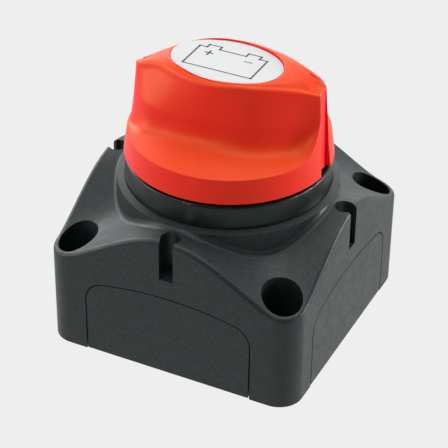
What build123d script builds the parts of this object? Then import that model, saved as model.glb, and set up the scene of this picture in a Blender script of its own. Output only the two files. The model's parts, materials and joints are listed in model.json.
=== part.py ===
"""Surface-mounted rotary battery switch: S-shaped knob, saddle-topped housing, snap-out cable plates.

Frame: millimetres, +Z up, origin on the mounting plane under the knob's axis, +X towards the right side.
Each function makes one sub-part as solids of its own, and the last lines write one STEP file for each.
"""
from build123d import *
from math import cos, radians, sin, sqrt
import os

# ---- Housing -------------------------------------------------------------
SIDE = 69.0                 # square footprint
HALF = SIDE / 2
CORNER_R = 6.35             # vertical corners, concentric with the mounting holes
WALL = 2.4
HOLE_PITCH = 56.3           # mounting holes, centre to centre
HOLE_AT = HOLE_PITCH / 2
BOLT_HOLE_R = 2.7           # clearance for a 5 mm screw
SCREW_POCKET_R = 5.1        # deep counterbore for the screw's head and driver
POCKET_FLOOR_Z = 5.0
DECK_Z = 39.8               # top of the saddle at the middle of each side
SADDLE_DROP = 12.9          # how far the saddle has fallen at SADDLE_REACH
SADDLE_REACH = 24.3
SADDLE_POWER = 1.85
SADDLE_FLOOR = 13.6         # the fall levels off here, round the corner pads
CEILING_Z = 25.0            # underside of the deck, over the terminal chamber
EDGE_R = 1.2                # rounding of the saddle's outer edge

# ---- Switch chamber ------------------------------------------------------
RING_R = 28.3               # raised ring round the collar
RING_TOP_Z = 40.25          # at its outer edge
RING_TOP_SLOPE = 0.25       # its top rises towards the collar
COLLAR_R = 26.3
COLLAR_TOP_Z = 47.0
COLLAR_CAVITY_R = 23.3
COLLAR_ROOF_Z = 43.5
FLANGE_R = 28.4
FLANGE_Z = (25.8, 27.4)
SLIP = 0.15                 # all round, between fixed parts that are pushed together
RUN = 0.05                  # radial clearance of parts that turn or slide on each other

# ---- Keyhole slots at the middle of each side ----------------------------
KEYHOLE_R = 2.55
KEYHOLE_IN = 2.5            # from the face to the round part's centre
KEYHOLE_SLOT = 3.8
KEYHOLE_FLOOR_Z = 28.4

# ---- Side plates and back cover ------------------------------------------
ARCH_HALF = 23.0            # half width at the foot
ARCH_SHOULDER = (19.2, 21.1)
ARCH_SIDE_Z = 15.5
ARCH_TOP_Z = 23.2
PLATE_GAP = 0.3
PLATE_TAPER = 0.12          # how much more the plate's sides draw in at the foot
PLATE_FOOT_Z = 0.3
RIB = 1.2
COVER_Z = (0.3, 2.3)

# ---- Terminals -----------------------------------------------------------
PLATE_Z = (21.0, 25.0)      # terminal plate
PLATE_HALF = 30.5
PLATE_DIAGONAL = 33.2       # centre to its cut corners
PLATE_SCREW_AT = 21.2
TRACK_R = (9.5, 20.6)       # raised ring that the contacts slide on
TRACK_TOP_Z = 28.0
STUD_AT = 15.0              # studs' distance from the axis
STUD_R = 5.0                # M10
STUD_NECK_R = 4.7           # in the nut and up to the head; stands for the thread
STUD_HEAD_R = 8.0
STUD_HEAD_FLAT = 7.6
STUD_END_Z = 4.0
WASHER = (10.0, 1.6)        # radius, thickness
LOCK_WASHER = (8.6, 2.0)
NUT_FLATS = 17.0
NUT_HEIGHT = 8.0

# ---- Rotor ---------------------------------------------------------------
SHAFT_R = 7.0
DRIVE_SQUARE = 9.8          # its corners still pass through the collar's bore
DRIVE_TOP_Z = 60.0
HUB_R = 12.5
HUB_Z = (33.5, 42.5)
SPRING_POCKET_R = 5.4
SPRING_TOP_Z = 40.0
BRIDGE = (40.0, 10.0, 3.0)
BRIDGE_Z = 29.4
CONTACT_R = 4.6
STOP_R = 17.5
STOP_Z = (38.0, 42.5)
STOP_ANGLE = 135.0          # the rotor's stop lug in the off position
STOP_HALF = 10.0            # half of the lug's width, in degrees
TURN = 90.0                 # from off to on, clockwise

# ---- Knob ----------------------------------------------------------------
KNOB_Z = 48.0
SKIRT_R = 26.5
CREASE_R = 25.6
CREASE_Z = 54.1
WAIST_Z = 62.0
CROWN_Z = 73.3
CROWN_FALL = 6.0            # at the grip's two ends
CROWN_SIDE_FALL = 0.9       # at the grip's two flanks
CROWN_TWIST = 0.016         # lifts the rounded lobe above the lip beside it
GRIP_END = 23.6
GRIP_FLANK = 12.0
SCOOP_SLOPE = 0.24          # the finger scoop's floor, rising from the crease to the wall
SCOOP_BLEND = 4.0           # tangent length of the round between the scoop's floor and wall
LABEL = (14.6, 10.0)        # half axes of the oval label
LABEL_X = -1.0
LABEL_Z = (71.4, 72.2)
LABEL_RIM = 0.35

QUARTERS = (0, 90, 180, 270)
CORNERS = [(sx * 1.0, sy * 1.0) for sx in (-1, 1) for sy in (-1, 1)]
UP = (Align.CENTER, Align.CENTER, Align.MIN)


def rod(radius, low, high, x=0.0, y=0.0):
    """A vertical cylinder between two heights."""
    return Pos(x, y, low) * Cylinder(radius, high - low, align=UP)


def tube(outer, inner, low, high):
    return rod(outer, low, high) - rod(inner, low - 1, high + 1)


def block(x, y, z):
    """A box from three (low, high) pairs."""
    size = [high - low for low, high in (x, y, z)]
    centre = [(high + low) / 2 for low, high in (x, y, z)]
    return Pos(*centre) * Box(*size)


def prism(outline, low, high):
    return extrude(Pos(0, 0, low) * outline, high - low)


def saddle_height(x, y):
    """Height of the housing's top: high along both centre lines, falling to the four corner pads."""
    ax = max(abs(x), 1e-6)
    ay = max(abs(y), 1e-6)
    reach = (ax ** -3 + ay ** -3) ** (-1 / 3)
    drop = SADDLE_DROP * (reach / SADDLE_REACH) ** SADDLE_POWER
    levelled = drop * (1 + (drop / SADDLE_FLOOR) ** 12) ** (-1 / 12)
    return DECK_Z - levelled


def above(height, half, steps, top=90.0):
    """The space above a surface given by a height formula."""
    line = [half * (2 * i / steps - 1) for i in range(steps + 1)]
    grid = [[Vector(x, y, height(x, y)) for y in line] for x in line]
    sheet = Face.make_surface_from_array_of_points(grid, tol=0.01, min_deg=3, max_deg=6)
    return Solid.extrude(sheet, Vector(0, 0, top))


def arch(gap, taper):
    """Outline of a cable opening in the plane of the front wall, made smaller by a gap and a taper."""
    half = ARCH_HALF - gap
    foot_half = half - taper
    shoulder = (ARCH_SHOULDER[0] - gap * 0.6, ARCH_SHOULDER[1] - gap * 0.8)
    foot = Line((-foot_half, -1), (-half, ARCH_SIDE_Z))
    left = TangentArc((-half, ARCH_SIDE_Z), (-shoulder[0], shoulder[1]), tangent=(0, 1))
    crown = ThreePointArc((-shoulder[0], shoulder[1]), (0, ARCH_TOP_Z - gap), shoulder)
    right = TangentArc((half, ARCH_SIDE_Z), shoulder, tangent=(0, 1))
    side = Line((half, ARCH_SIDE_Z), (foot_half, -1))
    sill = Line((foot_half, -1), (-foot_half, -1))
    return make_face([foot, left, crown, right, side, sill])


def arch_slab(gap, outside, inside, taper=0.0):
    """The arch as a slab in the front wall, between two distances from the switch's axis."""
    drawn = Plane((0, -inside, 0), x_dir=(1, 0, 0), z_dir=(0, -1, 0)) * arch(gap, taper)
    return extrude(drawn, outside - inside, dir=(0, -1, 0))


def keyhole():
    centre = HALF - KEYHOLE_IN
    round_part = rod(KEYHOLE_R, KEYHOLE_FLOOR_Z, 60, y=-centre)
    slot = block((-KEYHOLE_SLOT / 2, KEYHOLE_SLOT / 2), (-HALF - 1, -centre), (KEYHOLE_FLOOR_Z, 60))
    return round_part + slot


def housing():
    blank = prism(RectangleRounded(SIDE, SIDE, CORNER_R), 0, 50)
    body = blank - above(saddle_height, HALF + 3, 36)
    rim = [e for e in body.edges() if e.center().Z > 25 and abs(e.tangent_at(0.5).Z) < 0.99]
    body = fillet(rim, EDGE_R)
    ring_top = Cone(RING_R, RING_R - 1 / RING_TOP_SLOPE, 1.0, align=UP)
    body = body + rod(RING_R, CEILING_Z, RING_TOP_Z) + Pos(0, 0, RING_TOP_Z) * ring_top
    foot_edges = [e for e in body.edges() if is_ring_foot(e)]
    body = fillet(foot_edges, 1.6)
    inside = HALF - WALL
    chamber = block((-inside, inside), (-inside, inside), (-1, CEILING_Z))
    for sx, sy in CORNERS:
        chamber -= rod(CORNER_R, -2, CEILING_Z + 1, sx * HOLE_AT, sy * HOLE_AT)
    body -= chamber
    body -= rod(COLLAR_R + SLIP, 0, 60)
    recess = rod(FLANGE_R + SLIP, CEILING_Z - 1, FLANGE_Z[1])
    for sx, sy in CORNERS:
        recess -= rod(2.9, 0, 40, sx * PLATE_SCREW_AT, sy * PLATE_SCREW_AT)
    body -= recess
    for sx, sy in CORNERS:
        body -= rod(BOLT_HOLE_R, -1, 50, sx * HOLE_AT, sy * HOLE_AT)
        body -= rod(SCREW_POCKET_R, POCKET_FLOOR_Z, 50, sx * HOLE_AT, sy * HOLE_AT)
        body -= rod(1.5, CEILING_Z - 1, 30.8, sx * PLATE_SCREW_AT, sy * PLATE_SCREW_AT)
    for angle in QUARTERS:
        body -= Rot(0, 0, angle) * arch_slab(0, HALF + 1, inside - 1)
        body -= Rot(0, 0, angle) * keyhole()
    return body


def is_ring_foot(edge):
    """True for the edges where the ring's wall meets the saddle."""
    point = edge.position_at(0.5)
    on_ring = abs(sqrt(point.X ** 2 + point.Y ** 2) - RING_R) < 0.05
    return on_ring and CEILING_Z + 3 < point.Z < RING_TOP_Z - 0.1


def side_plate(angle):
    """A snap-out plate that closes a cable opening, with a stiffening frame inside."""
    inside = HALF - WALL
    slab = arch_slab(PLATE_GAP, HALF, inside, PLATE_TAPER)
    frame = arch_slab(PLATE_GAP + RIB, inside, inside - RIB)
    frame -= arch_slab(PLATE_GAP + 3 * RIB, inside, 0)
    plate = slab + frame - block((-HALF, HALF), (-HALF - 1, 0), (-5, PLATE_FOOT_Z))
    return Rot(0, 0, angle) * (plate - block((-HALF, HALF), (-inside, 0), (-5, COVER_Z[1] + 0.7)))


def back_cover():
    half = HALF - WALL - PLATE_GAP
    cover = prism(Rectangle(2 * half, 2 * half), *COVER_Z)
    rib = prism(Rectangle(40, 40) - Rectangle(37.6, 37.6), COVER_Z[1], COVER_Z[1] + RIB)
    for sx, sy in CORNERS:
        cover -= rod(CORNER_R + PLATE_GAP, -1, 9, sx * HOLE_AT, sy * HOLE_AT)
    return cover + rib


def switch_collar():
    """The upright wall and roof of the contact chamber, open below, with the rotor's two stops inside."""
    flange = rod(FLANGE_R, *FLANGE_Z)
    for sx, sy in CORNERS:
        flange -= rod(3.1, 0, 40, sx * PLATE_SCREW_AT, sy * PLATE_SCREW_AT)
    wall = rod(COLLAR_R, FLANGE_Z[0], COLLAR_TOP_Z)
    wall = fillet(wall.edges().sort_by(Axis.Z)[-1], 0.6)
    body = flange + wall - rod(COLLAR_CAVITY_R, 20, COLLAR_ROOF_Z)
    reach = STOP_HALF + 0.5
    for side in (STOP_ANGLE + reach + 5, STOP_ANGLE - TURN - reach - 5):
        rib = block((STOP_R - 3.5, COLLAR_CAVITY_R + 0.5), (-20, 20), (STOP_Z[0], COLLAR_ROOF_Z + 0.5))
        body += Rot(0, 0, side) * (rib & wedge(10.0, 30.0, STOP_Z[0], COLLAR_ROOF_Z + 0.5))
    return body - rod(SHAFT_R + RUN, 30, 60)


def wedge(angle, radius, low, high):
    """A sector of a disc, centred on the X axis."""
    tip = radius / cos(radians(angle / 2))
    far = (tip * cos(radians(angle / 2)), tip * sin(radians(angle / 2)))
    return prism(make_face(Polyline((0, 0), (far[0], -far[1]), far, close=True)), low, high)


def terminal_plate():
    outline = Rectangle(2 * PLATE_HALF, 2 * PLATE_HALF) & Rot(0, 0, 45) * Rectangle(
        2 * PLATE_DIAGONAL, 2 * PLATE_DIAGONAL
    )
    body = prism(outline, *PLATE_Z) + tube(TRACK_R[1], TRACK_R[0], PLATE_Z[1], TRACK_TOP_Z)
    body += rod(STUD_HEAD_R + 1.6, PLATE_Z[1], TRACK_TOP_Z, y=STUD_AT)
    body += rod(STUD_HEAD_R + 1.6, PLATE_Z[1], TRACK_TOP_Z, y=-STUD_AT)
    body = body & (rod(COLLAR_CAVITY_R - SLIP, 0, 60) + rod(60, 0, PLATE_Z[1]))
    for side in (-1, 1):
        body -= stud_head(side, RUN, TRACK_TOP_Z + 1)
        body -= rod(STUD_R + 0.1, 0, 60, y=side * STUD_AT)
    for sx, sy in CORNERS:
        body -= rod(1.75, 0, 60, sx * PLATE_SCREW_AT, sy * PLATE_SCREW_AT)
    return body


def stud_head(side, grow, top):
    """A round head with two flats that stop it turning, and act as the switch's fixed contact."""
    flats = block(
        (-STUD_HEAD_FLAT - grow, STUD_HEAD_FLAT + grow), (-60, 60), (PLATE_Z[1], top)
    )
    return rod(STUD_HEAD_R + grow, PLATE_Z[1], top, y=side * STUD_AT) & flats


def stud(side):
    nut_z = PLATE_Z[0] - WASHER[1] - LOCK_WASHER[1] - NUT_HEIGHT
    end = rod(STUD_R, STUD_END_Z, nut_z, y=side * STUD_AT)
    end = chamfer(end.edges().sort_by(Axis.Z)[0], 0.8)
    neck = rod(STUD_NECK_R, nut_z - 0.5, PLATE_Z[1] + 0.5, y=side * STUD_AT)
    return stud_head(side, 0, TRACK_TOP_Z) + neck + end


def at_studs(make):
    return Compound(children=[make(STUD_AT), make(-STUD_AT)])


def washer(y):
    return tube_at(WASHER[0], STUD_R + 0.25, PLATE_Z[0] - WASHER[1], PLATE_Z[0], y)


def lock_washer(y):
    top = PLATE_Z[0] - WASHER[1]
    ring = tube_at(LOCK_WASHER[0], STUD_R + 0.2, top - LOCK_WASHER[1], top, y)
    return ring - Pos(0, y, 0) * Rot(0, 0, 20) * block((0, 20), (-0.6, 0.6), (0, 30))


def nut(y):
    top = PLATE_Z[0] - WASHER[1] - LOCK_WASHER[1]
    hexagon = Pos(0, y, 0) * RegularPolygon(NUT_FLATS / 2, 6, major_radius=False)
    body = prism(hexagon, top - NUT_HEIGHT, top)
    cone = Pos(0, y, top - NUT_HEIGHT) * Cone(NUT_FLATS / 2 - 0.2, NUT_FLATS / 2 + 14, NUT_HEIGHT, align=UP)
    return (body & cone) - rod(STUD_NECK_R + RUN, 0, 30, y=y)


def tube_at(outer, inner, low, high, y):
    return rod(outer, low, high, y=y) - rod(inner, low - 1, high + 1, y=y)


def plate_screws():
    """Four self-tapping pan-head screws that hold the terminal plate up against the housing."""
    low = PLATE_Z[0] - 2.0
    screws = []
    for sx, sy in CORNERS:
        x, y = sx * PLATE_SCREW_AT, sy * PLATE_SCREW_AT
        head = rod(2.8, low, PLATE_Z[0], x, y)
        head = fillet(head.edges().sort_by(Axis.Z)[0], 0.7)
        cross = Pos(x, y, low + 0.5) * (Box(3.4, 0.8, 2.4) + Box(0.8, 3.4, 2.4))
        screws.append(head + rod(1.45, PLATE_Z[0] - 0.1, 30.0, x, y) - cross)
    return Compound(children=screws)


def chamber_gasket():
    return tube(COLLAR_R - 0.4, COLLAR_CAVITY_R + 0.3, PLATE_Z[1], FLANGE_Z[0])


def rotor_shaft():
    """Hub with the spring's pocket and two drive lugs, sealed shaft, and the square that turns the knob."""
    hub = rod(HUB_R, *HUB_Z)
    lug = block((0, STOP_R), (-20, 20), STOP_Z) & wedge(2 * STOP_HALF, 30.0, *STOP_Z) & rod(STOP_R, 30, 50)
    body = hub + Rot(0, 0, STOP_ANGLE) * lug
    inner_face = BRIDGE[1] / 2 + 0.15
    for sy in (-1, 1):
        low, high = sorted((sy * inner_face, sy * 9.4))
        body += block((-7.0, 7.0), (low, high), (BRIDGE_Z, HUB_Z[0] + 0.5))
    body += rod(SHAFT_R, HUB_Z[1] - 0.5, COLLAR_TOP_Z + 0.6)
    body += block(*[(-DRIVE_SQUARE / 2, DRIVE_SQUARE / 2)] * 2, (COLLAR_TOP_Z, DRIVE_TOP_Z))
    body -= rod(SPRING_POCKET_R, HUB_Z[0] - 1, SPRING_TOP_Z)
    body -= tube(SHAFT_R + 2, 5.3, 44.3, 46.1)
    return body - rod(1.95, 50, 61)


def shaft_seal():
    return Pos(0, 0, 45.2) * Torus(SHAFT_R - 0.85, 0.85)


def thrust_washer():
    return tube(11.5, SHAFT_R + 0.3, HUB_Z[1] + RUN, COLLAR_ROOF_Z)


def contact_bridge():
    """The copper bar that joins the two studs when the rotor has turned a quarter turn."""
    length, width, thick = BRIDGE
    bar = prism(RectangleRounded(length, width, 2.4), BRIDGE_Z, BRIDGE_Z + thick)
    return fillet(bar.edges().group_by(Axis.Z)[-1], 0.5)


def bridge_contacts():
    button = rod(CONTACT_R, TRACK_TOP_Z + RUN, BRIDGE_Z)
    button = fillet(button.edges().sort_by(Axis.Z)[0], 0.5)
    return Compound(children=[Pos(side * STUD_AT, 0, 0) * button for side in (-1, 1)])


def bridge_spring():
    """Coil spring that presses the bridge down on the studs' heads."""
    wire = 0.55
    low = BRIDGE_Z + BRIDGE[2] + wire
    path = Pos(0, 0, low) * Helix(1.55, SPRING_TOP_Z - wire - low, 4.1)
    start = path.position_at(0)
    section = Plane(origin=start, z_dir=path.tangent_at(0)) * Circle(wire)
    return sweep(section, path=path, is_frenet=True)


def crown_height(x, y):
    """Height of the grip's top: nearly flat in the middle, dropping to its two ends and flanks."""
    along = x / GRIP_END
    fall = CROWN_FALL * along ** 4 + CROWN_SIDE_FALL * (y / GRIP_FLANK) ** 2
    return CROWN_Z - fall + CROWN_TWIST * x * y * along ** 2


# One half of the grip, from the right-hand lip along the front to the left-hand lobe:
# x and y of its wall at CROWN_Z, x and y at WAIST_Z, and the angle of the crease point below.
GRIP_GUIDES = [
    (25.0, 2.6, 25.5, 1.6, 4.0),
    (20.2, -1.0, 20.7, -2.8, -14.0),
    (15.3, -5.2, 15.6, -7.6, -32.0),
    (9.6, -9.3, 9.8, -11.3, -52.0),
    (0.0, -12.0, 0.0, -13.2, -90.0),
    (-9.0, -9.8, -9.5, -13.3, -128.0),
    (-17.9, -5.9, -17.5, -11.7, -146.0),
    (-23.3, -5.2, -23.2, -7.4, -163.0),
    (-25.0, -2.6, -25.5, -1.6, -176.0),
]


def scoop_reach(z, length):
    """How far a finger scoop of a given floor length stands out from the grip's wall at a height."""
    corner = CREASE_Z + SCOOP_SLOPE * length
    blend = min(SCOOP_BLEND, 0.6 * length)
    floor_run = blend / sqrt(1 + SCOOP_SLOPE ** 2)
    low = corner - SCOOP_SLOPE * floor_run
    high = corner + blend
    if z <= low:
        return length - (z - CREASE_Z) / SCOOP_SLOPE
    if z >= high:
        return 0.0
    a = low - 2 * corner + high
    b = 2 * (corner - low)
    t = (sqrt(b * b - 4 * a * (low - z)) - b) / (2 * a)
    return (1 - t) ** 2 * floor_run


def grip_section(z):
    """The grip cut level at a height: two equal S-curves that meet in a sharp lip at each end."""
    share = max(0.0, (z - WAIST_Z) / (CROWN_Z - WAIST_Z))
    points = []
    for top_x, top_y, waist_x, waist_y, angle in GRIP_GUIDES:
        wall = Vector(waist_x + (top_x - waist_x) * share, waist_y + (top_y - waist_y) * share)
        out = Vector((CREASE_R - 0.05) * cos(radians(angle)), (CREASE_R - 0.05) * sin(radians(angle))) - wall
        point = wall + out.normalized() * scoop_reach(z, out.length)
        points.append((point.X, point.Y))
    front = Spline(points)
    back = Spline([(-x, -y) for x, y in points])
    return Pos(0, 0, z) * make_face([front, back])


def end_groove():
    """The straight recess behind the right-hand lip, through the grip's end and the skirt."""
    foot = make_face(Polyline((25.1, -2.6), (30, -2.6), (30, 3.2), (25.1, 3.2), close=True))
    head = make_face(Polyline((23.1, 2.4), (30, 2.4), (30, 5.5), (23.1, 5.5), close=True))
    return loft([Pos(0, 0, KNOB_Z - 1) * foot, Pos(0, 0, 76) * head])


def knob():
    floor = [CREASE_Z + (WAIST_Z - CREASE_Z) * (i / 14) ** 1.5 for i in range(15)]
    flank = [WAIST_Z + 3.5 * (i + 1) for i in range(4)]
    grip = loft([grip_section(z) for z in floor + flank], ruled=True)
    grip -= above(crown_height, 28.0, 14)
    skirt = Pos(0, 0, KNOB_Z) * Cone(SKIRT_R, CREASE_R, CREASE_Z - KNOB_Z, align=UP)
    body = skirt + grip
    for angle in (0, 180):
        body -= Rot(0, 0, angle) * end_groove()
    body -= rod(SKIRT_R - 2.6, 40, 51.5)
    hub = rod(8.6, KNOB_Z, 52)
    hollow = block((9.5, 18.5), (-4.2, 4.2), (50, 66)) + block((-18.5, -9.5), (-4.2, 4.2), (50, 66))
    body = body - hollow + hub
    socket = DRIVE_SQUARE / 2 + RUN
    body -= block((-socket, socket), (-socket, socket), (40, DRIVE_TOP_Z + RUN))
    body -= rod(2.2, 50, 70) + rod(4.2, 66, 80)
    return body - label_disc(LABEL_RIM, LABEL_Z[0], 80)


def label_disc(grow, low, high):
    return prism(Pos(LABEL_X, 0) * Ellipse(LABEL[0] + grow, LABEL[1] + grow), low, high)


def knob_screw():
    head = rod(3.8, 66, 69)
    head = fillet(head.edges().sort_by(Axis.Z)[-1], 0.8)
    cross = Pos(0, 0, 68.6) * (Box(4.4, 1.0, 2.4) + Box(1.0, 4.4, 2.4))
    return head + rod(1.9, 51, 66.5) - cross


nodes = {
    "housing": housing(),
    "back_cover": back_cover(),
    "switch_collar": switch_collar(),
    "chamber_gasket": chamber_gasket(),
    "terminal_plate": terminal_plate(),
    "plate_screws": plate_screws(),
    "stud_front": stud(-1),
    "stud_rear": stud(1),
    "stud_washers": at_studs(washer),
    "stud_lock_washers": at_studs(lock_washer),
    "stud_nuts": at_studs(nut),
    "thrust_washer": thrust_washer(),
    "rotor_shaft": rotor_shaft(),
    "shaft_seal": shaft_seal(),
    "contact_bridge": contact_bridge(),
    "bridge_contacts": bridge_contacts(),
    "bridge_spring": bridge_spring(),
    "knob": knob(),
    "knob_label": label_disc(0, *LABEL_Z),
    "knob_screw": knob_screw(),
}
for side, angle in zip(("front", "right", "back", "left"), QUARTERS):
    nodes[f"side_plate_{side}"] = side_plate(angle)

os.makedirs("parts", exist_ok=True)
for name, shape in nodes.items():
    export_step(shape, f"parts/{name}.step")
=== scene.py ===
import json
from math import cos, radians, sin

import bmesh
import bpy
import numpy as np
from mathutils import Matrix, Vector


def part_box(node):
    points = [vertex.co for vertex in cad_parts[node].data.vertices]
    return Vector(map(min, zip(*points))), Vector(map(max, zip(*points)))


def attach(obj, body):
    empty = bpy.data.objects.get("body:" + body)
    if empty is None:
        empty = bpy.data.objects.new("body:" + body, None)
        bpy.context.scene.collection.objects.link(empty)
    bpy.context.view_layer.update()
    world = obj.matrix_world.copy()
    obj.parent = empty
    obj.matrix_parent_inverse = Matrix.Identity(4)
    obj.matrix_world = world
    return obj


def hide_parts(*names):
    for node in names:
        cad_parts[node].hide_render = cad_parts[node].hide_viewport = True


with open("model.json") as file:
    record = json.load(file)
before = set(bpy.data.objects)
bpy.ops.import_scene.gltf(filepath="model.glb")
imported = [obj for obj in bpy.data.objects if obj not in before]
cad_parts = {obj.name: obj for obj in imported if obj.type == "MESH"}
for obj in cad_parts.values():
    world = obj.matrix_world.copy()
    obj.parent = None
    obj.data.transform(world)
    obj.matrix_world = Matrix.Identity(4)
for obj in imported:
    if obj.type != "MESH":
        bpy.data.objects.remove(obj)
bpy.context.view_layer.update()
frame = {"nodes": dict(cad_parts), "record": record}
MM = 0.001

# ---- Camera: where the photographer stood, round a point about half way up the switch ----
AZIMUTH, ELEVATION, ROLL = radians(25.6), radians(32.93), radians(0.87)
AIM = Vector((0, 0, 0.035))
DISTANCE = 0.4559            # metres from that point
FOCAL = 3.9815               # focal length, in image widths
# How far to the right of that point, and below it, the middle of the image is, in image widths.
OFF_AXIS = (-0.01004, 0.07545)


# ============================== stage ==============================
SENSOR_WIDTH = 36.0
NEAR_CLIP = 0.01
LIGHTS_AIM = (0, 0, 0.04)
# Each soft box: its name, where it stands, its width and height, all in metres, and its power in watts.
LIGHTS = [
    ("overhead", (0.05, 0.15, 0.80), (0.60, 0.60), 3.8),
    ("front_fill", (-0.30, -0.50, 0.80), (0.45, 0.45), 2.4),
    ("backdrop", (-0.50, 1.15, 0.62), (2.4, 1.2), 17.0),
    ("right_side", (0.75, 0.50, 0.22), (0.40, 0.40), 8.0),
    ("left_side", (-0.95, 0.25, 0.45), (0.60, 0.50), 5.8),
    ("left_front", (-0.80, -0.42, 0.30), (0.20, 0.50), 3.2),
]
WORLD_COLOUR, WORLD_STRENGTH = (0.90, 0.92, 0.94), 0.18
FLOOR_SIZE, FLOOR_Z = 6.0, -0.0002
FLOOR_GLOW = (0.855, 0.855, 0.855)


def make_camera():
    """The camera stands DISTANCE from its aim point and looks a little to one side of it."""
    back = Vector((sin(AZIMUTH) * cos(ELEVATION), -cos(AZIMUTH) * cos(ELEVATION), sin(ELEVATION)))
    right = (-back).cross(Vector((0, 0, 1))).normalized()
    up = right.cross(-back)
    rolled_right = cos(ROLL) * right + sin(ROLL) * up
    rolled_up = -sin(ROLL) * right + cos(ROLL) * up
    look = -back + (OFF_AXIS[0] * rolled_right - OFF_AXIS[1] * rolled_up) / FOCAL
    new_back = -look.normalized()
    new_right = rolled_up.cross(new_back).normalized()
    new_up = new_back.cross(new_right)
    data = bpy.data.cameras.new("camera")
    data.sensor_width = SENSOR_WIDTH
    data.lens = FOCAL * SENSOR_WIDTH
    data.clip_start = NEAR_CLIP
    camera = bpy.data.objects.new("camera", data)
    turn = Matrix((new_right, new_up, new_back)).transposed()
    camera.matrix_world = Matrix.Translation(AIM + back * DISTANCE) @ turn.to_4x4()
    bpy.context.scene.collection.objects.link(camera)
    bpy.context.scene.camera = camera


def area_light(name, place, size, watts):
    """A soft box that faces the switch."""
    data = bpy.data.lights.new(name, "AREA")
    data.shape = "RECTANGLE"
    data.size, data.size_y = size
    data.energy = watts
    lamp = bpy.data.objects.new(name, data)
    lamp.location = place
    lamp.rotation_mode = "QUATERNION"
    lamp.rotation_quaternion = (Vector(LIGHTS_AIM) - Vector(place)).to_track_quat("-Z", "Y")
    bpy.context.scene.collection.objects.link(lamp)


def make_studio():
    """A dim, even world, the soft boxes, and a floor."""
    world = bpy.data.worlds.new("studio")
    world.use_nodes = True
    background = world.node_tree.nodes["Background"]
    background.inputs["Color"].default_value = (*WORLD_COLOUR, 1)
    background.inputs["Strength"].default_value = WORLD_STRENGTH
    bpy.context.scene.world = world
    bpy.context.scene.view_settings.view_transform = "Standard"
    for light in LIGHTS:
        area_light(*light)
    bpy.ops.mesh.primitive_plane_add(size=FLOOR_SIZE, location=(0, 0, FLOOR_Z))
    floor = bpy.context.object
    floor.name = "floor"
    floor.data.materials.append(glowing_material("floor_paper", FLOOR_GLOW))


def glowing_material(name, colour):
    """Evenly lit paper under the switch, as bright as the background should be and free of shadows."""
    material = bpy.data.materials.new(name)
    material.use_nodes = True
    shader = material.node_tree.nodes["Principled BSDF"]
    shader.inputs["Base Color"].default_value = (0, 0, 0, 1)
    shader.inputs["Specular IOR Level"].default_value = 0.0
    shader.inputs["Emission Color"].default_value = (*colour, 1)
    shader.inputs["Emission Strength"].default_value = 1.0
    return material


# ============================ materials ============================
PLASTIC_GLOSS, PLASTIC_TINT = 0.34, (0.90, 1.0, 0.99)
KNOB_GLOSS, KNOB_TINT = 0.42, (0.95, 0.80, 0.28)
KNOB_ROUGHNESS = (0.36, 0.46)
# The knob's own red where its surface is upright, then painted light: a more orange painted highlight where
# it slants, and painted light from above where it faces up.
KNOB_COLOURS_PAINTED_LIGHT = [
    (0.10, (0.80, 0.006, 0.010)),
    (0.65, (0.74, 0.038, 0.012)),
    (0.95, (0.70, 0.037, 0.009)),
]
# Light that spreads under the knob's surface: how deep, in metres, how much of it, and each colour's reach.
GLOW_DEPTH, GLOW_SHARE, GLOW_REACH = 0.0015, 0.12, (1.0, 0.25, 0.08)
NOISE_LOW, NOISE_HIGH = 0.3, 0.7     # the part of a noise's range that is spread out

# Each moulded plastic: its colour from dark to light, its roughness, and its grain's scale and depth.
PLASTICS = {
    "housing_plastic": ((0.007, 0.010, 0.010), (0.020, 0.026, 0.026), 0.42, 3200.0, 0.00006),
    # The collar's colour is darker than the housing's: painted shade from the knob above it.
    "collar_plastic": ((0.004, 0.005, 0.005), (0.007, 0.009, 0.009), 0.32, 5200.0, 0.00002),
    "rotor_plastic": ((0.62, 0.60, 0.54), (0.68, 0.66, 0.60), 0.42, 4200.0, 0.00002),
    "label_film": ((0.49, 0.49, 0.495), (0.51, 0.51, 0.51), 0.55, 5200.0, 0.00001),
    "label_ink": ((0.030, 0.032, 0.040), (0.045, 0.047, 0.055), 0.50, 5200.0, 0.00001),
    "seal_rubber": ((0.010, 0.010, 0.010), (0.016, 0.016, 0.016), 0.62, 2400.0, 0.00004),
}
# Each metal: its colour from dark to light, its roughness, and how much finer its streaks are along X, Y, Z.
METALS = {
    "stainless_steel": ((0.52, 0.52, 0.50), (0.62, 0.61, 0.59), 0.30, (1, 1, 6)),
    "tinned_copper": ((0.64, 0.63, 0.60), (0.74, 0.73, 0.70), 0.34, (1, 1, 5)),
    "copper": ((0.66, 0.30, 0.17), (0.78, 0.40, 0.25), 0.34, (6, 1, 1)),
    "silver_contact": ((0.76, 0.75, 0.72), (0.84, 0.83, 0.80), 0.28, (1, 1, 1)),
}


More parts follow.
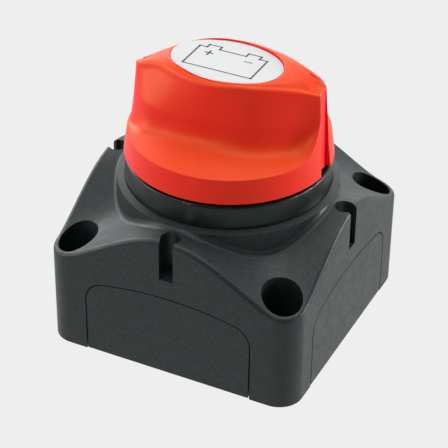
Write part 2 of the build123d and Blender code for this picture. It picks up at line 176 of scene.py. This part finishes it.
class Nodes:
    """A short way to write a node material. It reads object coordinates, which are the frame's, in metres, so
    a bump's distance is in metres too, and a noise's scale is about its number of lumps to the metre."""

    def __init__(self, name, **sockets):
        self.material = bpy.data.materials.new(name)
        self.material.use_nodes = True
        self.tree = self.material.node_tree
        self.shader = self.tree.nodes["Principled BSDF"]
        for key, value in sockets.items():
            self.shader.inputs[key.replace("_", " ")].default_value = value
        self.place = self.tree.nodes.new("ShaderNodeTexCoord").outputs["Object"]

    def link(self, source, target):
        self.tree.links.new(source, target)

    def noise(self, scale, detail=3.0, roughness=0.5, stretch=None):
        node = self.tree.nodes.new("ShaderNodeTexNoise")
        node.inputs["Scale"].default_value = scale
        node.inputs["Detail"].default_value = detail
        node.inputs["Roughness"].default_value = roughness
        place = self.place
        if stretch:
            mapping = self.tree.nodes.new("ShaderNodeMapping")
            mapping.inputs["Scale"].default_value = stretch
            self.link(place, mapping.inputs["Vector"])
            place = mapping.outputs["Vector"]
        self.link(place, node.inputs["Vector"])
        return node.outputs["Fac"]

    def ramp(self, value, *stops):
        node = self.tree.nodes.new("ShaderNodeValToRGB")
        ramp = node.color_ramp
        while len(ramp.elements) < len(stops):
            ramp.elements.new(0.5)
        for element, (position, colour) in zip(ramp.elements, stops):
            element.position = position
            element.color = (*colour, 1)
        self.link(value, node.inputs["Fac"])
        return node.outputs["Color"]

    def spread(self, value, low, high):
        node = self.tree.nodes.new("ShaderNodeMapRange")
        node.inputs["From Min"].default_value = NOISE_LOW
        node.inputs["From Max"].default_value = NOISE_HIGH
        node.inputs["To Min"].default_value = low
        node.inputs["To Max"].default_value = high
        self.link(value, node.inputs["Value"])
        return node.outputs["Result"]

    def add(self, first, second):
        node = self.tree.nodes.new("ShaderNodeMath")
        self.link(first, node.inputs[0])
        self.link(second, node.inputs[1])
        return node.outputs["Value"]

    def bump(self, height, distance, strength=1.0, below=None):
        node = self.tree.nodes.new("ShaderNodeBump")
        node.inputs["Distance"].default_value = distance
        node.inputs["Strength"].default_value = strength
        self.link(height, node.inputs["Height"])
        if below:
            self.link(below, node.inputs["Normal"])
        return node.outputs["Normal"]

    def set(self, socket, value):
        self.link(value, self.shader.inputs[socket])


def moulded_plastic(name, dark, light, roughness, grain_scale, grain_depth):
    """Moulded plastic: a fine spark-eroded grain, faint flow mottling and uneven gloss."""
    m = Nodes(name, Specular_IOR_Level=PLASTIC_GLOSS, Specular_Tint=(*PLASTIC_TINT, 1))
    speckle = m.noise(scale=grain_scale * 0.8, detail=2.0, roughness=0.7)
    m.set("Base Color", m.ramp(speckle, (0.40, dark), (0.60, light)))
    gloss = m.noise(scale=450.0, detail=3.0)
    m.set("Roughness", m.spread(gloss, low=roughness - 0.05, high=roughness + 0.06))
    grain = m.noise(scale=grain_scale, detail=2.0, roughness=0.6)
    waves = m.bump(m.noise(scale=120.0, detail=1.0), distance=0.00004, strength=0.08)
    m.set("Normal", m.bump(grain, distance=grain_depth, strength=0.8, below=waves))
    return m.material


def metal(name, dark, light, roughness, stretch):
    """Turned or rolled metal with fine streaks."""
    m = Nodes(name, Metallic=1.0)
    streaks = m.noise(scale=900.0, detail=4.0, roughness=0.6, stretch=stretch)
    tarnish = m.noise(scale=160.0, detail=3.0)
    m.set("Base Color", m.ramp(tarnish, (0.3, dark), (0.7, light)))
    m.set("Roughness", m.spread(streaks, low=roughness - 0.06, high=roughness + 0.08))
    m.set("Normal", m.bump(streaks, distance=0.00002, strength=0.5))
    return m.material


def make_materials():
    """Every material of the model, by the name of its slot, and the label's ink."""
    materials = {name: moulded_plastic(name, *looks) for name, looks in PLASTICS.items()}
    materials.update({name: metal(name, *looks) for name, looks in METALS.items()})
    materials["knob_plastic"] = knob_plastic()
    return materials


def knob_plastic():
    """Bright red moulded plastic with a little depth. Its colour carries painted light: it is more orange
    where it slants and where it faces up, as if lit from above.
    """
    m = Nodes("knob_plastic", Subsurface_Weight=GLOW_SHARE, Subsurface_Scale=GLOW_DEPTH,
              Subsurface_Radius=GLOW_REACH, Specular_IOR_Level=KNOB_GLOSS, Specular_Tint=(*KNOB_TINT, 1))
    tilt = m.tree.nodes.new("ShaderNodeSeparateXYZ")
    m.link(m.tree.nodes["Texture Coordinate"].outputs["Normal"], tilt.inputs["Vector"])
    mottle = m.spread(m.noise(scale=70.0, detail=4.0, roughness=0.6), low=-0.06, high=0.06)
    # The normal's upward part plus a random mottle picks the colour: the orange on slants and tops is painted
    # light, and the mottle is the plastic's own uneven tone.
    painted_light_and_mottle = m.add(tilt.outputs["Z"], mottle)
    m.set("Base Color", m.ramp(painted_light_and_mottle, *KNOB_COLOURS_PAINTED_LIGHT))
    gloss = m.noise(scale=500.0, detail=3.0)
    m.set("Roughness", m.spread(gloss, *KNOB_ROUGHNESS))
    grain = m.noise(scale=5000.0, detail=2.0, roughness=0.6)
    waves = m.bump(m.noise(scale=110.0, detail=1.0), distance=0.00003, strength=0.08)
    m.set("Normal", m.bump(grain, distance=0.00002, strength=0.7, below=waves))
    return m.material


# Width, in millimetres, of the small round on each outer moulding's sharp edges.
EDGE_BEVEL = {"housing": 0.25, "switch_collar": 0.15, "side_plate_front": 0.15, "side_plate_right": 0.15,
              "side_plate_back": 0.15, "side_plate_left": 0.15, "back_cover": 0.15}
KNOB_BEVEL = 0.35
BEVEL_STEPS = 2
BEVEL_ANGLE = 38.0           # degrees: an edge sharper than this gets the round
SHARP_ANGLE = 35.0           # degrees: the knob's shading is smooth up to this
WELD_DISTANCE = 1e-7


def dress_cad_nodes(materials):
    """Each CAD node gets its slot's material, and the outer mouldings get soft edges."""
    for row in frame["record"]["subparts"]:
        node = frame["nodes"][row["node"]]
        node.data.materials.clear()
        node.data.materials.append(materials[row["material_slot"]])
        if row["node"] in EDGE_BEVEL:
            soften_edges(node, EDGE_BEVEL[row["node"]])


def soften_edges(piece, width):
    """A small round on a moulding's sharp edges, to catch the light."""
    bevel = piece.modifiers.new("edges", "BEVEL")
    bevel.width = width * MM
    bevel.segments = BEVEL_STEPS
    bevel.limit_method = "ANGLE"
    bevel.angle_limit = radians(BEVEL_ANGLE)


# ============================ knob mesh ============================
# Sizes here are in millimetres, in the frame's own axes. The grip is the same after half a turn, so only the
# front half is worked out: from the lip at its right end to the rounded lobe at its left end. A groove down
# each end is between that end's lip and its lobe.
KNOB_LOW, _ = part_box("knob")
LABEL_LOW, LABEL_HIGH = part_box("knob_label")
LABEL_X = (LABEL_LOW.x + LABEL_HIGH.x) / 2 / MM
LABEL_HALF = ((LABEL_HIGH.x - LABEL_LOW.x) / 2 / MM, (LABEL_HIGH.y - LABEL_LOW.y) / 2 / MM)
LABEL_SEAT_Z = LABEL_LOW.z / MM
RECESS_HALF = (LABEL_HALF[0] + 0.5, LABEL_HALF[1] + 0.5)
SEAT_INSET = 0.24            # how far inside the recess's mouth its flat seat starts
FOOT_Z = KNOB_LOW.z / MM
CROWN_Z = 73.25
SKIRT_R = 26.5
SKIRT_TAPER = 0.145          # the skirt's radius falls by this for each millimetre of height
UNDER_R, UNDER_Z = 23.9, 51.4    # the rim of the hollow under the knob, and its ceiling
UNDER_INNER = 0.4            # the ceiling's inner ring, as a share of that rim
CREASE_Z = 54.2
WAIST_Z = 62.0
LIP_Z = 68.8                 # where the slanting lips reach the grip's top
# The right end's two slanting edges and its groove's bottom, each at its foot and at its top. The edges are
# (x, y), and the groove is its distance from the axis.
LIP_FOOT, LIP_TOP = (26.35, -2.5), (23.6, 1.2)
LOBE_FOOT, LOBE_TOP = (26.2, 3.3), (23.55, 4.9)
GROOVE_FOOT, GROOVE_TOP = 25.0, 23.45
# How far the crown falls from its middle to its ends and to its sides, and how much it is twisted.
CROWN_FALL, CROWN_SIDE_FALL, CROWN_TWIST = 6.0, 0.9, 0.016
CROWN_HALF_WIDTH = 12.0
CROWN_SETTLE = 3             # the crown has its own height from 1 / this of the way in to the label
FLANK_READ = 1.5             # how far below the crown the flank is read to find the crown's height over it
SCOOP_SLOPE = 0.24           # the finger scoop's floor, rising from the crease to the wall
SCOOP_BLEND = 4.0            # how far the round between floor and wall reaches along the floor
LOBE_BLEND = 2.0             # and how much further on the rounded lobe
BLEND_SHARE, LOBE_BLEND_SHARE = 0.75, 0.2    # the most of the floor it may take, and more on the lobe
SHORTEST_FLOOR = 1e-6        # so that no floor's length is zero
CORNER_PASSES = 3            # to find where the floor would meet the leaning wall
ROUND_RISE = 5.0             # how far it reaches up the wall
LOBE_RISE = 4.5              # and how much further on the lobe
LEAST_FLANK = 0.4            # the least height of flank left above it
CREASE_RISE = 8.0            # how far the crease has climbed where it meets the lip
CREASE_RISE_ANGLE = 26.0     # degrees round from the lip over which it climbs
CREASE_RISE_POWER = 3.0
PER_SPAN = 12                # columns between two neighbouring guide points
GROOVE_STEPS = 4
GROOVE_EDGE_R = 0.35
NORMAL_REACH = 8             # columns either side over which the rounded edge's direction is evened out

# Shares of the way along the half knob, from the lip at 0 to the lobe's end at 1.
LIP_ZONE = 0.24              # the crown's edge gets sharper this close to the lip
TIP_ZONE = 0.06              # and again this close to the lobe's end
PIN_LIP, PIN_LOBE = 0.06, 0.22   # the flank leans below its waist too within these shares of the ends
LOBE_START, LOBE_GROWTH, LOBE_FADE = 0.42, 0.2, 0.26     # where the crown's edge is softest
SCOOP_LOBE_START, SCOOP_LOBE_GROWTH = 0.5, 0.2
SCOOP_LOBE_REACH = 8.0       # the scoop's round grows on the lobe where the floor is shorter than this
LIP_EDGE_R, EDGE_R_GAIN, LOBE_EDGE_R_GAIN = 0.35, 0.75, 1.0     # in millimetres

# Shares of the way up or across each surface at which it has a row of points.
SKIRT_ROWS = (0.0, 0.25, 0.5, 0.75, 0.93, 0.98)
FLOOR_ROWS = (0.0, 0.03, 0.1, 0.3, 0.5, 0.7, 0.9)
ROUND_ROWS = np.linspace(0, 1, 14)
FLANK_ROWS = np.linspace(0, 1, 13)[1:]
CROWN_ROWS = np.linspace(0, 1, 9)[1:]
EDGE_TURNS = (18, 36, 54, 72, 90)    # degrees round the crown's edge
RECESS_STEPS = ((0.12, 0.06), (0.22, 0.2))   # (inward, down) from the mouth of the label's recess

# Guide points from the right lip, along the front, to the left lobe's end:
# (x, y) at the top, (x, y) at the waist, and the direction, in degrees, that the floor runs out to.
GUIDES = [
    ((20.0, -1.0), (20.6, -2.8), -14.0),
    ((15.3, -5.2), (15.6, -7.8), -32.0),
    ((9.6, -9.3), (9.8, -11.6), -52.0),
    ((0.0, -12.0), (0.0, -13.4), -90.0),
    ((-9.0, -9.8), (-9.5, -13.5), -126.0),
    ((-17.8, -5.9), (-17.4, -11.9), -145.0),
    ((-21.9, -5.4), (-22.1, -8.6), -159.0),
]


def climb(values, start, length):
    """0 up to start, rising to 1 over a length."""
    return np.clip((values - start) / length, 0, 1)


def eased(share):
    """The same share, with a soft start and end."""
    return share * share * (3 - 2 * share)


def slant(foot, top, z):
    """A point on a slanting straight edge of the knob, at a height."""
    share = (np.asarray(z, float) - FOOT_Z) / (LIP_Z - FOOT_Z)
    return np.multiply.outer(1 - share, np.array(foot)) + np.multiply.outer(share, np.array(top))


def crown(points):
    """Height of the grip's top over points."""
    x, y = points[..., 0], points[..., 1]
    along = x / LIP_TOP[0]
    fall = CROWN_FALL * along ** 4 + CROWN_SIDE_FALL * (y / CROWN_HALF_WIDTH) ** 2
    return CROWN_Z - fall + CROWN_TWIST * x * y * along ** 2


def smooth_guides():
    """The guide values along the half knob, PER_SPAN columns to a span, by Catmull-Rom."""
    lip_angle = [float(np.degrees(np.arctan2(*slant(LIP_FOOT, LIP_TOP, CREASE_Z)[::-1])))]
    lobe_angle = [float(np.degrees(np.arctan2(*slant(LOBE_FOOT, LOBE_TOP, CREASE_Z)[::-1]))) - 180.0]
    first = [*slant(LIP_FOOT, LIP_TOP, CROWN_Z), *slant(LIP_FOOT, LIP_TOP, WAIST_Z)] + lip_angle
    last = [*-slant(LOBE_FOOT, LOBE_TOP, CROWN_Z), *-slant(LOBE_FOOT, LOBE_TOP, WAIST_Z)] + lobe_angle
    rows = np.array([first] + [[*top, *waist, turn] for top, waist, turn in GUIDES] + [last])
    rows = np.vstack([2 * rows[0] - rows[1], rows, 2 * rows[-1] - rows[-2]])
    share = np.linspace(0, 1, PER_SPAN, endpoint=False)[:, None]
    curve = []
    for a, b, c, d in zip(rows, rows[1:], rows[2:], rows[3:]):
        curve.append(0.5 * (2 * b + (c - a) * share + (2 * a - 5 * b + 4 * c - d) * share ** 2
                            + (3 * b - a - 3 * c + d) * share ** 3))
    return np.vstack(curve + [rows[-2][None]])


class HalfKnob:
    """Columns of points for half of the knob, from the right lip round the front to the left lobe's end."""

    def __init__(self):
        guides = smooth_guides()
        self.top, self.waist, self.turn = guides[:, 0:2], guides[:, 2:4], np.radians(guides[:, 4])
        self.share = np.linspace(0, 1, len(guides))
        near_lip = np.clip(1 - (self.turn[0] - self.turn) / radians(CREASE_RISE_ANGLE), 0, 1)
        self.crease_z = CREASE_Z + CREASE_RISE * near_lip ** CREASE_RISE_POWER
        to_lip = 1 - self.share / PIN_LIP
        to_lobe = 1 - (1 - self.share) / PIN_LOBE
        self.pinned = eased(np.clip(np.maximum(to_lip, to_lobe), 0, 1))
        off_lip = 1 - np.clip(1 - self.share / LIP_ZONE, 0, 1)
        off_tip = climb(1 - self.share, 0, TIP_ZONE)
        on_lobe = climb(self.share, LOBE_START, LOBE_GROWTH) * eased(climb(1 - self.share, 0, LOBE_FADE))
        self.edge_r = LIP_EDGE_R + EDGE_R_GAIN * off_lip * off_tip + LOBE_EDGE_R_GAIN * on_lobe
        above_flank = self.flank(np.full(len(self.share), CROWN_Z - FLANK_READ))
        self.head = crown(above_flank) - self.edge_r
        self.make_scoop()

    def make_scoop(self):
        """Where the scoop's straight floor starts, where it would meet the wall, and where its round ends."""
        self.crease = self.skirt(self.crease_z)
        corner_z = self.crease_z.copy()
        for _ in range(CORNER_PASSES):
            length = np.linalg.norm(self.crease - self.flank(corner_z), axis=1)
            corner_z = self.crease_z + SCOOP_SLOPE * length
        at_lobe = np.clip(1 - length / SCOOP_LOBE_REACH, 0, 1)
        at_lobe = at_lobe * climb(self.share, SCOOP_LOBE_START, SCOOP_LOBE_GROWTH)
        longest = (BLEND_SHARE + LOBE_BLEND_SHARE * at_lobe) * length
        blend = np.minimum(SCOOP_BLEND + LOBE_BLEND * at_lobe, longest)
        nearness = (blend / np.maximum(length, SHORTEST_FLOOR))[:, None]
        self.corner, self.corner_z = self.flank(corner_z), corner_z
        self.low = self.corner + (self.crease - self.corner) * nearness
        self.low_z = corner_z - SCOOP_SLOPE * blend
        self.high_z = np.minimum(corner_z + ROUND_RISE + LOBE_RISE * at_lobe, self.head - LEAST_FLANK)

    def skirt(self, z):
        """Points on the round skirt. Its ends follow the lip's and the lobe's slanting edges."""
        radius = SKIRT_R - SKIRT_TAPER * (z - FOOT_Z)
        lip, lobe = slant(LIP_FOOT, LIP_TOP, z), -slant(LOBE_FOOT, LOBE_TOP, z)
        first = np.arctan2(lip[:, 1], lip[:, 0])
        last = np.arctan2(lobe[:, 1], lobe[:, 0])
        span = (self.turn - self.turn[0]) / (self.turn[-1] - self.turn[0])
        angle = first + (last - first) * span
        return np.stack([radius * np.cos(angle), radius * np.sin(angle)], axis=1)

    def flank(self, z):
        """Points on the grip's upright flank."""
        share = (z - WAIST_Z) / (CROWN_Z - WAIST_Z)
        share = share * self.pinned + np.maximum(share, 0) * (1 - self.pinned)
        return self.waist + (self.top - self.waist) * share[:, None]

    def rising(self, part, share):
        """(points, heights) of one row of the skirt, floor, round or flank, share of the way up it."""
        if part == "skirt":
            z = FOOT_Z + (self.crease_z - FOOT_Z) * share
            return self.skirt(z), z
        if part == "floor":
            return (self.crease + (self.low - self.crease) * share,
                    self.crease_z + (self.low_z - self.crease_z) * share)
        if part == "round":
            a, b, c = (1 - share) ** 2, 2 * share * (1 - share), share ** 2
            return (a * self.low + b * self.corner + c * self.flank(self.high_z),
                    a * self.low_z + b * self.corner_z + c * self.high_z)
        z = self.high_z + (self.head - self.high_z) * share
        return self.flank(z), z


def inward(points):
    """Unit normals in plan, into the grip, along a clockwise line of points, evened out along it."""
    step = np.gradient(points, axis=0)
    normal = np.stack([step[:, 1], -step[:, 0]], axis=1)
    normal /= np.linalg.norm(normal, axis=1)[:, None]
    padded = np.pad(normal, ((NORMAL_REACH, NORMAL_REACH), (0, 0)), mode="edge")
    evened = sum(padded[k:k + len(normal)] for k in range(2 * NORMAL_REACH + 1))
    return evened / np.linalg.norm(evened, axis=1)[:, None]


def groove_depth(z):
    """How far from the axis the bottom of the end groove is, at a height."""
    return GROOVE_FOOT + (GROOVE_TOP - GROOVE_FOOT) * (z - FOOT_Z) / (LIP_Z - FOOT_Z)


def with_groove(points, z):
    """Adds the columns of the left end groove, which leads to the next half's lip."""
    end, end_z = points[-1], z[-1]
    lip, lip_z = -points[0], z[0]
    corner_a = np.array([max(end[0], -groove_depth(end_z)), end[1]])
    corner_b = np.array([max(lip[0], -groove_depth(lip_z)), lip[1]])
    across = np.linspace(0, 1, GROOVE_STEPS)
    face = corner_a + (corner_b - corner_a) * across[:, None]
    face_z = end_z + (lip_z - end_z) * across
    return np.vstack([np.column_stack([points, z]), np.column_stack([face, face_z])])


def whole_row(half):
    """A full ring of points: the half knob's, and the same again after half a turn."""
    return np.vstack([half, half * np.array([-1, -1, 1])])


def under_rings(half):
    """The hollow under the knob, from its ceiling out to the skirt's foot."""
    ring = with_groove(*half.rising("skirt", 0.0))
    shrink = UNDER_R / np.linalg.norm(ring[:, :2], axis=1)
    rim = np.column_stack([ring[:, :2] * shrink[:, None], ring[:, 2]])
    up = (0, 0, UNDER_Z - FOOT_Z)
    return [whole_row(rim * (UNDER_INNER, UNDER_INNER, 1) + up), whole_row(rim + up), whole_row(rim)]


def edge_rings(half):
    """The rounded edge between the flank and the crown."""
    edge, edge_z = half.rising("flank", 1.0)
    normal = inward(edge)
    rings = []
    for turn in np.radians(EDGE_TURNS):
        bend = half.edge_r * (1 - np.cos(turn))
        lift = half.edge_r * np.sin(turn)
        row = with_groove(edge + normal * bend[:, None], edge_z + lift)
        row[len(edge):, 0] += GROOVE_EDGE_R * (1 - np.cos(turn))
        rings.append(whole_row(row))
    return rings


def crown_rings(rim):
    """The crown, from its edge to the mouth of the label's recess, and then the recess and its seat."""
    centre = np.array([LABEL_X, 0.0])
    direction = (rim[:, :2] - centre) / np.array(RECESS_HALF)
    around = np.arctan2(direction[:, 1], direction[:, 0])
    mouth = centre + np.column_stack([RECESS_HALF[0] * np.cos(around), RECESS_HALF[1] * np.sin(around)])
    rings = []
    for share in CROWN_ROWS:
        flat = rim[:, :2] + (mouth - rim[:, :2]) * share
        settle = np.clip(share * CROWN_SETTLE, 0, 1)
        height = rim[:, 2] * (1 - settle) + crown(flat) * settle
        rings.append(np.column_stack([flat, height]))
    mouth_z = crown(mouth)
    for step, drop in RECESS_STEPS:
        shrunk = centre + (mouth - centre) * (1 - step / RECESS_HALF[1])
        rings.append(np.column_stack([shrunk, mouth_z - drop]))
    seat = centre + (mouth - centre) * (1 - SEAT_INSET / RECESS_HALF[1])
    seat_z = np.full(len(seat), LABEL_SEAT_Z)
    rings.append(np.column_stack([seat, seat_z]))
    rings.append(np.column_stack([centre + (seat - centre) * 0.5, seat_z]))
    return rings


def knob_rings():
    """All the knob's rings of points, from under it, up its outside and in over its crown."""
    half = HalfKnob()
    rings = under_rings(half)
    surfaces = (("skirt", SKIRT_ROWS), ("floor", FLOOR_ROWS), ("round", ROUND_ROWS), ("flank", FLANK_ROWS))
    for part, rows in surfaces:
        for share in rows:
            rings.append(whole_row(with_groove(*half.rising(part, share))))
    rings += edge_rings(half)
    return rings + crown_rings(rings[-1])


def ring_mesh(name, rings):
    """A closed mesh from rings of points, each with as many as the last, with both ends capped."""
    count = len(rings[0])
    points = [tuple(p * MM) for ring in rings for p in ring]
    faces = []
    for k in range(len(rings) - 1):
        for i in range(count):
            j = (i + 1) % count
            faces.append((k * count + i, k * count + j, (k + 1) * count + j, (k + 1) * count + i))
    faces.append(tuple(range(count))[::-1])
    faces.append(tuple((len(rings) - 1) * count + i for i in range(count)))
    mesh = bpy.data.meshes.new(name)
    mesh.from_pydata(points, [], faces)
    mesh.validate()
    piece = bpy.data.objects.new(name, mesh)
    bpy.context.scene.collection.objects.link(piece)
    return piece


def finish_mesh(piece, material):
    """Outward normals, smooth shading up to an angle, and the piece's material."""
    work = bmesh.new()
    work.from_mesh(piece.data)
    bmesh.ops.remove_doubles(work, verts=work.verts, dist=WELD_DISTANCE)
    bmesh.ops.recalc_face_normals(work, faces=work.faces)
    work.to_mesh(piece.data)
    work.free()
    piece.data.shade_smooth()
    piece.data.set_sharp_from_angle(angle=radians(SHARP_ANGLE))
    piece.data.materials.clear()
    piece.data.materials.append(material)


def make_knob(materials):
    """The knob as it looks, in place of the CAD model's plainer one."""
    knob = ring_mesh("grip_knob", knob_rings())
    finish_mesh(knob, materials["knob_plastic"])
    soften_edges(knob, KNOB_BEVEL)
    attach(knob, "rotor")
    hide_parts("knob")


# ============================ label print ============================
# In millimetres too: the battery's case, its two terminals' (left, right) and height, and its signs.
BATTERY_X, BATTERY_Y = (-10.5, 7.9), (-5.2, 4.4)
TERMINALS = ((-8.5, -5.1), (2.2, 5.8))
TERMINAL_RISE = 1.45
PLUS_AT, MINUS_AT, SIGN_SIZE = (-6.8, 1.9), (3.9, 1.9), 2.0
INK_Z = LABEL_HIGH.z / MM
INK_THICK, INK_SUNK = 0.04, 0.01
OUTLINE_WIDE, OUTLINE_THIN = 0.45, 0.32      # the outline's strokes along y, and along x
PLUS_WIDE, PLUS_THIN, MINUS_THIN = 0.46, 0.36, 0.26


def strip(x, y):
    """The eight corners and six faces of one printed stroke, from its (low, high) in x and y."""
    corners = [(a, b, c) for c in (INK_Z - INK_SUNK, INK_Z + INK_THICK) for b in y for a in x]
    faces = [(0, 2, 3, 1), (4, 5, 7, 6), (0, 1, 5, 4), (2, 6, 7, 3), (0, 4, 6, 2), (1, 3, 7, 5)]
    return corners, faces


def stroke(start, end, width):
    """One printed stroke from start to end, along x or y, with square ends."""
    half = width / 2
    x = sorted((start[0], end[0]))
    y = sorted((start[1], end[1]))
    return strip((x[0] - half, x[1] + half), (y[0] - half, y[1] + half))


def battery_outline():
    """The (start, end) pairs of the battery's outline, clockwise from its top left corner."""
    (x0, x1), (y0, y1) = BATTERY_X, BATTERY_Y
    path = [(x0, y1)]
    for low, high in TERMINALS:
        path += [(low, y1), (low, y1 + TERMINAL_RISE), (high, y1 + TERMINAL_RISE), (high, y1)]
    path += [(x1, y1), (x1, y0), (x0, y0), (x0, y1)]
    return list(zip(path, path[1:]))


def join_strokes(name, strokes, material):
    """One piece from many strokes, which turns with the rotor."""
    points, faces = [], []
    for corners, sides in strokes:
        faces += [tuple(i + len(points) for i in side) for side in sides]
        points += corners
    mesh = bpy.data.meshes.new(name)
    mesh.from_pydata([tuple(c * MM for c in p) for p in points], [], faces)
    piece = bpy.data.objects.new(name, mesh)
    bpy.context.scene.collection.objects.link(piece)
    mesh.materials.append(material)
    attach(piece, "rotor")


def make_print(materials):
    """The label's print: a battery's outline with a plus and a minus sign in it."""
    lines = [stroke(a, b, OUTLINE_WIDE if a[0] == b[0] else OUTLINE_THIN) for a, b in battery_outline()]
    half = SIGN_SIZE / 2
    plus = [stroke((PLUS_AT[0], PLUS_AT[1] - half), (PLUS_AT[0], PLUS_AT[1] + half), PLUS_WIDE),
            stroke((PLUS_AT[0] - half, PLUS_AT[1]), (PLUS_AT[0] + half, PLUS_AT[1]), PLUS_THIN)]
    minus = [stroke((MINUS_AT[0] - half, MINUS_AT[1]), (MINUS_AT[0] + half, MINUS_AT[1]), MINUS_THIN)]
    join_strokes("battery_print", lines + plus + minus, materials["label_ink"])


materials = make_materials()
dress_cad_nodes(materials)
make_knob(materials)
make_print(materials)
make_camera()
make_studio()
